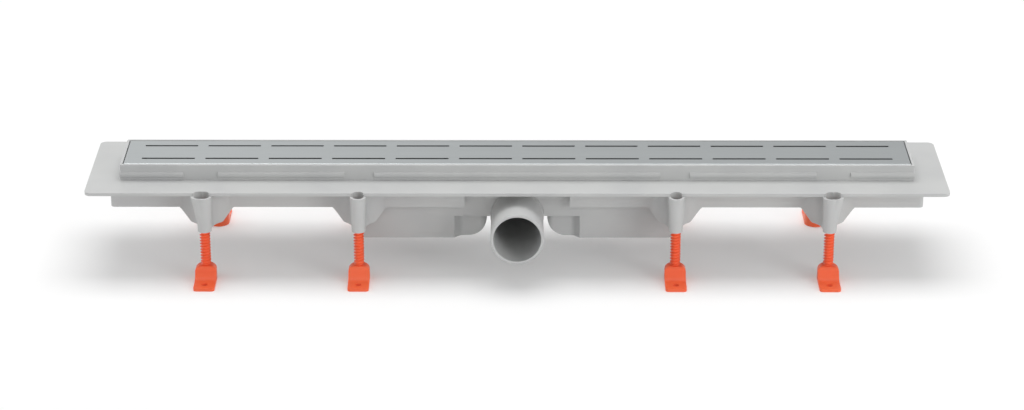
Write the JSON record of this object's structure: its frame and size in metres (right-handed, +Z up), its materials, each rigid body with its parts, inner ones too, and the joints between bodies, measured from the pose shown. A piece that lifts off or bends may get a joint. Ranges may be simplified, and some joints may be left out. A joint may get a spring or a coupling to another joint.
{
  "type": "shower channel drain",
  "caption": "Long moulded shower channel drain with a slotted stainless cover, side outlet, odour trap and screw-adjustable feet.",
  "frame": {"origin": "on the floor under the middle of the channel", "axes": "+X along the channel, +Z up, the outlet spigot points to -Y"},
  "size_m": [0.816, 0.194, 0.1025],
  "materials": {
    "grey_moulding": "satin moulded",
    "insert_plastic": "satin moulded",
    "seal_rubber": "matte",
    "stainless_cover": "brushed",
    "orange_plastic": "satin moulded"
  },
  "bodies": {
    "channel": {"channel_body": "grey_moulding", "trap_housing": "grey_moulding", "trap_insert": "insert_plastic", "insert_seal": "seal_rubber", "cover_grate": "stainless_cover"},
    "foot_front_outer_left": {"leg_foot_front_outer_left": "orange_plastic"},
    "rod_front_outer_left": {"leg_rod_front_outer_left": "orange_plastic"},
    "foot_front_inner_left": {"leg_foot_front_inner_left": "orange_plastic"},
    "rod_front_inner_left": {"leg_rod_front_inner_left": "orange_plastic"},
    "foot_front_inner_right": {"leg_foot_front_inner_right": "orange_plastic"},
    "rod_front_inner_right": {"leg_rod_front_inner_right": "orange_plastic"},
    "foot_front_outer_right": {"leg_foot_front_outer_right": "orange_plastic"},
    "rod_front_outer_right": {"leg_rod_front_outer_right": "orange_plastic"},
    "foot_rear_outer_left": {"leg_foot_rear_outer_left": "orange_plastic"},
    "rod_rear_outer_left": {"leg_rod_rear_outer_left": "orange_plastic"},
    "foot_rear_inner_left": {"leg_foot_rear_inner_left": "orange_plastic"},
    "rod_rear_inner_left": {"leg_rod_rear_inner_left": "orange_plastic"},
    "foot_rear_inner_right": {"leg_foot_rear_inner_right": "orange_plastic"},
    "rod_rear_inner_right": {"leg_rod_rear_inner_right": "orange_plastic"},
    "foot_rear_outer_right": {"leg_foot_rear_outer_right": "orange_plastic"},
    "rod_rear_outer_right": {"leg_rod_rear_outer_right": "orange_plastic"}
  },
  "joints": [
    {"name": "height_front_outer_left", "type": "slide", "parent": "channel", "child": "foot_front_outer_left", "axis": [0, 0, -1], "range_m": [-0.016, 0.012]},
    {"name": "turn_front_outer_left", "type": "hinge", "parent": "foot_front_outer_left", "child": "rod_front_outer_left", "pos_m": [-0.2954, -0.066, 0.014], "axis": [0, 0, -1], "range_deg": [-1921, 1441]},
    {"name": "height_front_inner_left", "type": "slide", "parent": "channel", "child": "foot_front_inner_left", "axis": [0, 0, -1], "range_m": [-0.016, 0.012]},
    {"name": "turn_front_inner_left", "type": "hinge", "parent": "foot_front_inner_left", "child": "rod_front_inner_left", "pos_m": [-0.15, -0.066, 0.014], "axis": [0, 0, -1], "range_deg": [-1921, 1441]},
    {"name": "height_front_inner_right", "type": "slide", "parent": "channel", "child": "foot_front_inner_right", "axis": [0, 0, -1], "range_m": [-0.016, 0.012]},
    {"name": "turn_front_inner_right", "type": "hinge", "parent": "foot_front_inner_right", "child": "rod_front_inner_right", "pos_m": [0.15, -0.066, 0.014], "axis": [0, 0, -1], "range_deg": [-1921, 1441]},
    {"name": "height_front_outer_right", "type": "slide", "parent": "channel", "child": "foot_front_outer_right", "axis": [0, 0, -1], "range_m": [-0.016, 0.012]},
    {"name": "turn_front_outer_right", "type": "hinge", "parent": "foot_front_outer_right", "child": "rod_front_outer_right", "pos_m": [0.2954, -0.066, 0.014], "axis": [0, 0, -1], "range_deg": [-1921, 1441]},
    {"name": "height_rear_outer_left", "type": "slide", "parent": "channel", "child": "foot_rear_outer_left", "axis": [0, 0, -1], "range_m": [-0.016, 0.012]},
    {"name": "turn_rear_outer_left", "type": "hinge", "parent": "foot_rear_outer_left", "child": "rod_rear_outer_left", "pos_m": [-0.2954, 0.066, 0.014], "axis": [0, 0, -1], "range_deg": [-1921, 1441]},
    {"name": "height_rear_inner_left", "type": "slide", "parent": "channel", "child": "foot_rear_inner_left", "axis": [0, 0, -1], "range_m": [-0.016, 0.012]},
    {"name": "turn_rear_inner_left", "type": "hinge", "parent": "foot_rear_inner_left", "child": "rod_rear_inner_left", "pos_m": [-0.15, 0.066, 0.014], "axis": [0, 0, -1], "range_deg": [-1921, 1441]},
    {"name": "height_rear_inner_right", "type": "slide", "parent": "channel", "child": "foot_rear_inner_right", "axis": [0, 0, -1], "range_m": [-0.016, 0.012]},
    {"name": "turn_rear_inner_right", "type": "hinge", "parent": "foot_rear_inner_right", "child": "rod_rear_inner_right", "pos_m": [0.15, 0.066, 0.014], "axis": [0, 0, -1], "range_deg": [-1921, 1441]},
    {"name": "height_rear_outer_right", "type": "slide", "parent": "channel", "child": "foot_rear_outer_right", "axis": [0, 0, -1], "range_m": [-0.016, 0.012]},
    {"name": "turn_rear_outer_right", "type": "hinge", "parent": "foot_rear_outer_right", "child": "rod_rear_outer_right", "pos_m": [0.2954, 0.066, 0.014], "axis": [0, 0, -1], "range_deg": [-1921, 1441]}
  ],
  "couplings": [
    {"joint": "turn_front_outer_left", "follows": "height_front_outer_left", "rad_per_m": 2094.4},
    {"joint": "turn_front_inner_left", "follows": "height_front_inner_left", "rad_per_m": 2094.4},
    {"joint": "turn_front_inner_right", "follows": "height_front_inner_right", "rad_per_m": 2094.4},
    {"joint": "turn_front_outer_right", "follows": "height_front_outer_right", "rad_per_m": 2094.4},
    {"joint": "turn_rear_outer_left", "follows": "height_rear_outer_left", "rad_per_m": 2094.4},
    {"joint": "turn_rear_inner_left", "follows": "height_rear_inner_left", "rad_per_m": 2094.4},
    {"joint": "turn_rear_inner_right", "follows": "height_rear_inner_right", "rad_per_m": 2094.4},
    {"joint": "turn_rear_outer_right", "follows": "height_rear_outer_right", "rad_per_m": 2094.4}
  ]
}
